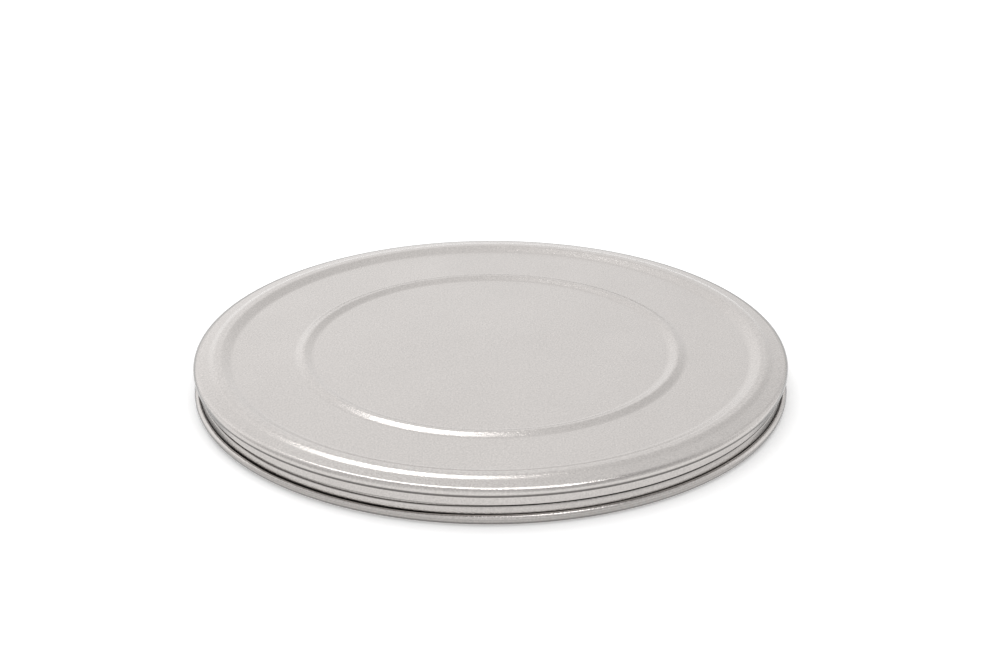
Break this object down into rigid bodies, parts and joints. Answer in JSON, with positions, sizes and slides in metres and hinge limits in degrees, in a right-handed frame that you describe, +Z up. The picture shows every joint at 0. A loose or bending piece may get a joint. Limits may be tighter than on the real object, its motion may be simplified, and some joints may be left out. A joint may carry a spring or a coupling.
{
  "type": "round tin",
  "caption": "Shut flat round tin of plain silver tinplate: a slip-on lid with raised rings and a rolled rim over a shallow base with a matching standing rim.",
  "frame": {"origin": "centre of the flat ring that the tin stands on, on the plane it stands on", "axes": "+Z up along the tin's axis, from the base to the lid; the tin is round about it, and -Y is towards the viewer"},
  "size_m": [0.13, 0.13, 0.0091],
  "materials": {
    "tinplate": "bare matte tinplate with a fine grain"
  },
  "bodies": {
    "root": {"lid": "tinplate", "base": "tinplate"}
  },
  "joints": []
}
